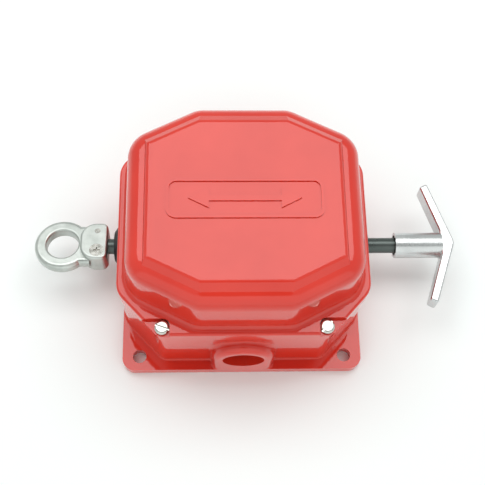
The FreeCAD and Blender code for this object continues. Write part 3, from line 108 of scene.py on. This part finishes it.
class Finish:
    """A material: one Principled shader and the texture nodes that feed it.

    Textures read object coordinates, which are metres in the model's frame.
    """

    def __init__(self, name, colour, roughness, metallic=0.0, **sockets):
        self.material = bpy.data.materials.new(name)
        self.material.use_nodes = True
        self.tree = self.material.node_tree
        self.shader = self.tree.nodes["Principled BSDF"]
        self.set("Base Color", colour)
        self.set("Roughness", roughness)
        self.set("Metallic", metallic)
        for socket, value in sockets.items():
            self.set(socket.replace("_", " ").title().replace("Ior", "IOR"), value)
        self.coordinates = self.tree.nodes.new("ShaderNodeTexCoord").outputs["Object"]
        self.rough = roughness

    def set(self, socket, value):
        if isinstance(value, tuple):
            value = (*value, 1.0)
        self.shader.inputs[socket].default_value = value

    def link(self, source, target):
        self.tree.links.new(source, target)

    def feed(self, source, socket):
        self.link(source, self.shader.inputs[socket])

    def mapped(self, stretch, turn=(0, 0, 0)):
        """Object coordinates scaled per axis, so that a grain runs one way."""
        mapping = self.tree.nodes.new("ShaderNodeMapping")
        mapping.inputs["Scale"].default_value = stretch
        mapping.inputs["Rotation"].default_value = turn
        self.link(self.coordinates, mapping.inputs["Vector"])
        return mapping.outputs["Vector"]

    def noise(self, size, detail=2.0, fade=0.5, stretch=(1, 1, 1), turn=(0, 0, 0)):
        """Cloudy noise whose blotches are about size metres across."""
        node = self.tree.nodes.new("ShaderNodeTexNoise")
        node.inputs["Scale"].default_value = 1 / size
        node.inputs["Detail"].default_value = detail
        node.inputs["Roughness"].default_value = fade
        self.link(self.mapped(stretch, turn), node.inputs["Vector"])
        return node.outputs["Fac"]

    def cells(self, size):
        """Rounded cells about size metres across, for cast grain."""
        node = self.tree.nodes.new("ShaderNodeTexVoronoi")
        node.feature = "F1"
        node.inputs["Scale"].default_value = 1 / size
        self.link(self.coordinates, node.inputs["Vector"])
        return node.outputs["Distance"]

    def lines(self, axis, pitch, waver):
        """Even lines across an axis, as a cutting tool leaves them."""
        node = self.tree.nodes.new("ShaderNodeTexWave")
        node.wave_type = "BANDS"
        node.bands_direction = axis
        node.inputs["Scale"].default_value = math.pi / 10 / pitch
        node.inputs["Distortion"].default_value = waver
        self.link(self.coordinates, node.inputs["Vector"])
        return node.outputs["Fac"]

    def ramp(self, source, start, end, low=0.0, high=1.0):
        """An even ramp, on this finish's own tree."""
        return map_range(self.tree, source, start, end, low, high)

    def combine(self, a, b, share):
        """Height a plus a share of height b."""
        node = self.tree.nodes.new("ShaderNodeMath")
        node.operation = "MULTIPLY_ADD"
        self.link(b, node.inputs[0])
        node.inputs[1].default_value = share
        self.link(a, node.inputs[2])
        return node.outputs["Value"]

    def tint(self, mask, low, high):
        """Colour low where the mask is 0 and high where it is 1."""
        node = self.tree.nodes.new("ShaderNodeMix")
        node.data_type = "RGBA"
        self.link(mask, node.inputs["Factor"])
        for socket, value in (("A", low), ("B", high)):
            target = [s for s in node.inputs if s.name == socket and s.type == "RGBA"][0]
            target.default_value = (*value, 1.0)
        return [s for s in node.outputs if s.type == "RGBA"][0]

    def bump(self, height, depth, socket="Normal"):
        """Relief depth metres deep on the named normal socket."""
        node = self.tree.nodes.new("ShaderNodeBump")
        node.inputs["Strength"].default_value = 1.0
        node.inputs["Distance"].default_value = depth
        self.link(height, node.inputs["Height"])
        self.feed(node.outputs["Normal"], socket)

    def vary_roughness(self, source, spread):
        """Roughness wanders by spread each way about its set value."""
        low = max(self.rough - spread, LEAST_ROUGHNESS)
        self.feed(self.ramp(source, 0.3, 0.7, low, self.rough + spread), "Roughness")


def red_enamel():
    """Thick glossy stove enamel on a casting: slight orange peel and soft colour drift."""
    finish = Finish("red_enamel", (0.65, 0.028, 0.014), 0.32, specular_ior_level=0.08,
                    coat_weight=1.0, coat_roughness=0.025, coat_ior=1.52)
    drift = finish.noise(45 * MM, detail=3.0)
    peel = finish.noise(2.6 * MM, detail=1.0)
    grain = finish.noise(0.5 * MM, detail=2.0)
    finish.feed(finish.tint(finish.ramp(drift, 0.35, 0.65),
                            (0.62, 0.025, 0.012), (0.68, 0.032, 0.016)), "Base Color")
    finish.vary_roughness(grain, 0.05)
    relief = finish.combine(peel, drift, 4.0)
    finish.bump(relief, 0.012 * MM)
    finish.bump(relief, 0.012 * MM, socket="Coat Normal")
    return finish.material


def cast_zinc():
    """Tumbled die casting: satin, with fine pits and soft dull patches."""
    finish = Finish("cast_zinc", (0.60, 0.63, 0.60), 0.36, metallic=1.0)
    grain_size = 0.45 * MM
    patches = finish.noise(9 * MM, detail=4.0, fade=0.6)
    grain = finish.noise(grain_size, detail=3.0, fade=0.65)
    pits = finish.ramp(finish.cells(grain_size * 5), 0.0, 0.16)
    finish.feed(finish.tint(finish.ramp(patches, 0.3, 0.7),
                            (0.44, 0.47, 0.44), (0.60, 0.63, 0.60)), "Base Color")
    finish.vary_roughness(patches, 0.07)
    finish.bump(finish.combine(grain, pits, 0.5), 0.05 * MM)
    return finish.material


def cast_aluminium():
    """Polished die-cast handle: bright, with fine sanding lines along the arms."""
    finish = Finish("cast_aluminium", (0.68, 0.69, 0.69), 0.27, metallic=1.0)
    patches = finish.noise(14 * MM, detail=3.0)
    sanding = finish.noise(0.22 * MM, detail=3.0, stretch=(1, 0.05, 1))
    finish.feed(finish.tint(finish.ramp(patches, 0.3, 0.7),
                            (0.56, 0.57, 0.57), (0.68, 0.69, 0.69)), "Base Color")
    finish.vary_roughness(sanding, 0.08)
    finish.bump(sanding, 0.03 * MM)
    return finish.material


def plated(name, light, dark, roughness):
    """Bright plating: faint cloudiness and fine handling marks."""
    finish = Finish(name, light, roughness, metallic=1.0)
    clouds = finish.noise(3 * MM, detail=4.0)
    marks = finish.noise(0.3 * MM, detail=2.0, stretch=(1, 0.2, 1), turn=(0, 0, 0.6))
    finish.feed(finish.tint(finish.ramp(clouds, 0.3, 0.7), dark, light), "Base Color")
    finish.vary_roughness(clouds, roughness / 3)
    finish.bump(marks, 0.01 * MM)
    return finish.material


def turned(name, light, dark, roughness, pitch, depth, metallic=1.0):
    """A bar turned in a lathe: fine rings round X and mottled colour."""
    finish = Finish(name, light, roughness, metallic=metallic)
    mottle = finish.noise(5 * MM, detail=4.0, stretch=(0.4, 1, 1))
    rings = finish.lines("X", pitch, waver=0.4)
    finish.feed(finish.tint(finish.ramp(mottle, 0.3, 0.7), dark, light), "Base Color")
    finish.vary_roughness(mottle, 0.06)
    finish.bump(rings, depth)
    return finish.material


def black_rubber():
    """Moulded nitrile: soft black, faintly dusty, with a fine matt grain."""
    finish = Finish("black_rubber", (0.018, 0.019, 0.020), 0.52)
    dust = finish.noise(4 * MM, detail=5.0, fade=0.6)
    grain = finish.noise(0.25 * MM, detail=2.0)
    finish.feed(finish.tint(finish.ramp(dust, 0.45, 0.8),
                            (0.014, 0.015, 0.016), (0.038, 0.040, 0.040)), "Base Color")
    finish.vary_roughness(dust, 0.1)
    finish.bump(grain, 0.03 * MM)
    return finish.material


def moulded_plastic(name, colour, roughness):
    """Injection-moulded plastic with a spark-eroded grain."""
    finish = Finish(name, colour, roughness)
    shade = finish.noise(8 * MM, detail=2.0)
    grain = finish.noise(0.3 * MM, detail=3.0)
    darker = tuple(0.85 * part for part in colour)
    finish.feed(finish.tint(finish.ramp(shade, 0.3, 0.7), darker, colour), "Base Color")
    finish.vary_roughness(grain, 0.06)
    finish.bump(grain, 0.02 * MM)
    return finish.material


def studio_floor():
    """Pale card with the faintest tooth."""
    finish = Finish("studio_floor", (0.91, 0.94, 0.935), 0.75)
    tooth = finish.noise(1.2 * MM, detail=3.0)
    shade = finish.noise(0.6, detail=1.0)
    finish.feed(finish.tint(shade, (0.90, 0.935, 0.93), (0.92, 0.95, 0.945)),
                "Base Color")
    finish.bump(tooth, 0.01 * MM)
    return finish.material


FINISHES = {
    "red_enamel": red_enamel(),
    "black_rubber": black_rubber(),
    "nickel_plate": plated("nickel_plate", (0.66, 0.645, 0.60), (0.52, 0.505, 0.46), 0.18),
    "bronze": turned("bronze", (0.66, 0.44, 0.22), (0.55, 0.34, 0.16), 0.35,
                     0.3 * MM, 0.01 * MM),
    "black_oxide_steel": turned("black_oxide_steel", (0.105, 0.125, 0.118),
                                (0.075, 0.090, 0.084), 0.30, 0.25 * MM, 0.006 * MM,
                                metallic=0.8),
    "zinc_plated_steel": plated("zinc_plated_steel", (0.66, 0.68, 0.70),
                                (0.56, 0.58, 0.62), 0.28),
    "cast_zinc": cast_zinc(),
    "spring_steel": turned("spring_steel", (0.42, 0.42, 0.43), (0.33, 0.33, 0.35), 0.30,
                           0.4 * MM, 0.008 * MM),
    "green_earth": plated("green_earth", (0.10, 0.34, 0.12), (0.07, 0.26, 0.09), 0.35),
    "brass": plated("brass", (0.72, 0.53, 0.24), (0.62, 0.44, 0.19), 0.26),
    "cast_aluminium": cast_aluminium(),
    "black_plastic": moulded_plastic("black_plastic", (0.020, 0.021, 0.023), 0.45),
    "red_plastic": moulded_plastic("red_plastic", (0.50, 0.025, 0.02), 0.40),
    "white_plastic": moulded_plastic("white_plastic", (0.72, 0.71, 0.67), 0.42),
}


def paint_frame():
    """Each node's finish is the one that the record names for it."""
    for item in frame["nodes"].values():
        slots = item.data.materials
        for place, old in enumerate(slots):
            slots[place] = FINISHES[old.name.split(".")[0]]


paint_frame()


# ------------------------------------------------------------------------ added detail

def mesh_piece(name, points, faces, finish, body):
    """A new smooth piece from points and faces, riding on a body."""
    mesh = bpy.data.meshes.new(name)
    mesh.from_pydata([tuple(point) for point in points], [], faces)
    mesh.materials.append(FINISHES[finish])
    mesh.polygons.foreach_set("use_smooth", [True] * len(mesh.polygons))
    mesh.update()
    piece = bpy.data.objects.new(name, mesh)
    bpy.context.scene.collection.objects.link(piece)
    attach(piece, body)
    return piece


def mount(name):
    return next(m for m in frame["record"]["mounts"] if m["name"] == name)


def pipe_thread():
    """The helical ridge inside the conduit entry."""
    entry = mount("conduit_entry")
    centre = Vector(entry["pos_m"])
    bore = entry["dims"]["r_mm"] * MM
    length = entry["dims"]["length_mm"] * MM
    turns = (length - 2 * THREAD_LEAD) / THREAD_PITCH
    steps = int(turns * THREAD_STEPS)
    points = []
    for step in range(steps + 1):
        turn = 2 * math.pi * step / THREAD_STEPS
        along = THREAD_LEAD + THREAD_PITCH * step / THREAD_STEPS
        fade = min(1.0, step / THREAD_STEPS, (steps - step) / THREAD_STEPS)
        for shift, height in THREAD_SECTION:
            rise = (THREAD_DEPTH + THREAD_SUNK) * height * max(fade, THREAD_LEAST)
            radius = bore + THREAD_SUNK - rise
            points.append(centre + Vector((radius * math.cos(turn),
                                           along + shift * THREAD_PITCH,
                                           radius * math.sin(turn))))
    faces = []
    corners = len(THREAD_SECTION)
    for step in range(steps):
        a, b = corners * step, corners * (step + 1)
        for side in range(corners):
            after = (side + 1) % corners
            faces.append((a + side, a + after, b + after, b + side))
    last = corners * steps
    faces.append(tuple(reversed(range(corners))))
    faces.append(tuple(range(last, last + corners)))
    return mesh_piece("conduit_thread", points, faces, "red_enamel", "housing")


pipe_thread()


# ------------------------------------------------------------------- floor, light, camera

def make_floor():
    corners = [(FLOOR_HALF * x, FLOOR_HALF * y, -FLOOR_DROP)
               for x, y in ((-1, -1), (1, -1), (1, 1), (-1, 1))]
    mesh = bpy.data.meshes.new("studio_floor")
    mesh.from_pydata(corners, [], [(0, 1, 2, 3)])
    mesh.materials.append(studio_floor())
    floor = bpy.data.objects.new("studio_floor", mesh)
    bpy.context.scene.collection.objects.link(floor)


def make_world():
    """A pale studio, brighter in front, with the dark of the lens and its stand above."""
    world = bpy.data.worlds.new("studio")
    world.use_nodes = True
    tree = world.node_tree
    background = tree.nodes["Background"]
    background.inputs["Color"].default_value = STUDIO_COLOUR
    direction = tree.nodes.new("ShaderNodeTexCoord").outputs["Generated"]
    split = tree.nodes.new("ShaderNodeSeparateXYZ")
    tree.links.new(direction, split.inputs["Vector"])
    front = map_range(tree, split.outputs["Y"], *FRONT_EDGE, WALL_STRENGTH, FRONT_STRENGTH,
                      "SMOOTHSTEP")
    towards = tree.nodes.new("ShaderNodeVectorMath")
    towards.operation = "DOT_PRODUCT"
    tree.links.new(direction, towards.inputs[0])
    towards.inputs[1].default_value = LENS_DIRECTION
    lens = map_range(tree, towards.outputs["Value"], *LENS_EDGE, 1.0, LENS_LIGHT,
                     "SMOOTHSTEP")
    strength = tree.nodes.new("ShaderNodeMath")
    strength.operation = "MULTIPLY"
    tree.links.new(front, strength.inputs[0])
    tree.links.new(lens, strength.inputs[1])
    tree.links.new(strength.outputs["Value"], background.inputs["Strength"])
    bpy.context.scene.world = world


def make_softbox():
    light = bpy.data.lights.new("overhead_softbox", "AREA")
    light.shape = "RECTANGLE"
    light.size, light.size_y = SOFTBOX_SIZE
    light.energy = SOFTBOX_WATTS
    softbox = bpy.data.objects.new("overhead_softbox", light)
    softbox.location = SOFTBOX_PLACE
    aim = Vector(SOFTBOX_TARGET) - Vector(SOFTBOX_PLACE)
    softbox.rotation_euler = aim.to_track_quat("-Z", "Y").to_euler()
    bpy.context.scene.collection.objects.link(softbox)


def make_camera():
    """The lens looks steeply down, a little from the left of the conduit side."""
    place = Vector(CAMERA_PLACE) * MM
    down = math.radians(CAMERA_DOWN)
    yaw = math.radians(CAMERA_YAW)
    roll = math.radians(CAMERA_ROLL)
    ahead = Vector((math.sin(yaw) * math.cos(down), math.cos(yaw) * math.cos(down),
                    -math.sin(down)))
    level = Vector((math.cos(yaw), -math.sin(yaw), 0))
    upward = level.cross(ahead)
    right = level * math.cos(roll) + upward * math.sin(roll)
    up = upward * math.cos(roll) - level * math.sin(roll)
    data = bpy.data.cameras.new("camera")
    data.sensor_width = SENSOR_WIDTH
    data.lens = FOCAL_LENGTH
    data.clip_start = 0.01
    data.clip_end = 20.0
    camera = bpy.data.objects.new("camera", data)
    camera.matrix_world = Matrix((
        (right.x, up.x, -ahead.x, place.x), (right.y, up.y, -ahead.y, place.y),
        (right.z, up.z, -ahead.z, place.z), (0, 0, 0, 1)))
    bpy.context.scene.collection.objects.link(camera)
    bpy.context.scene.camera = camera


make_floor()
make_world()
make_softbox()
make_camera()
bpy.context.scene.view_settings.view_transform = "Standard"
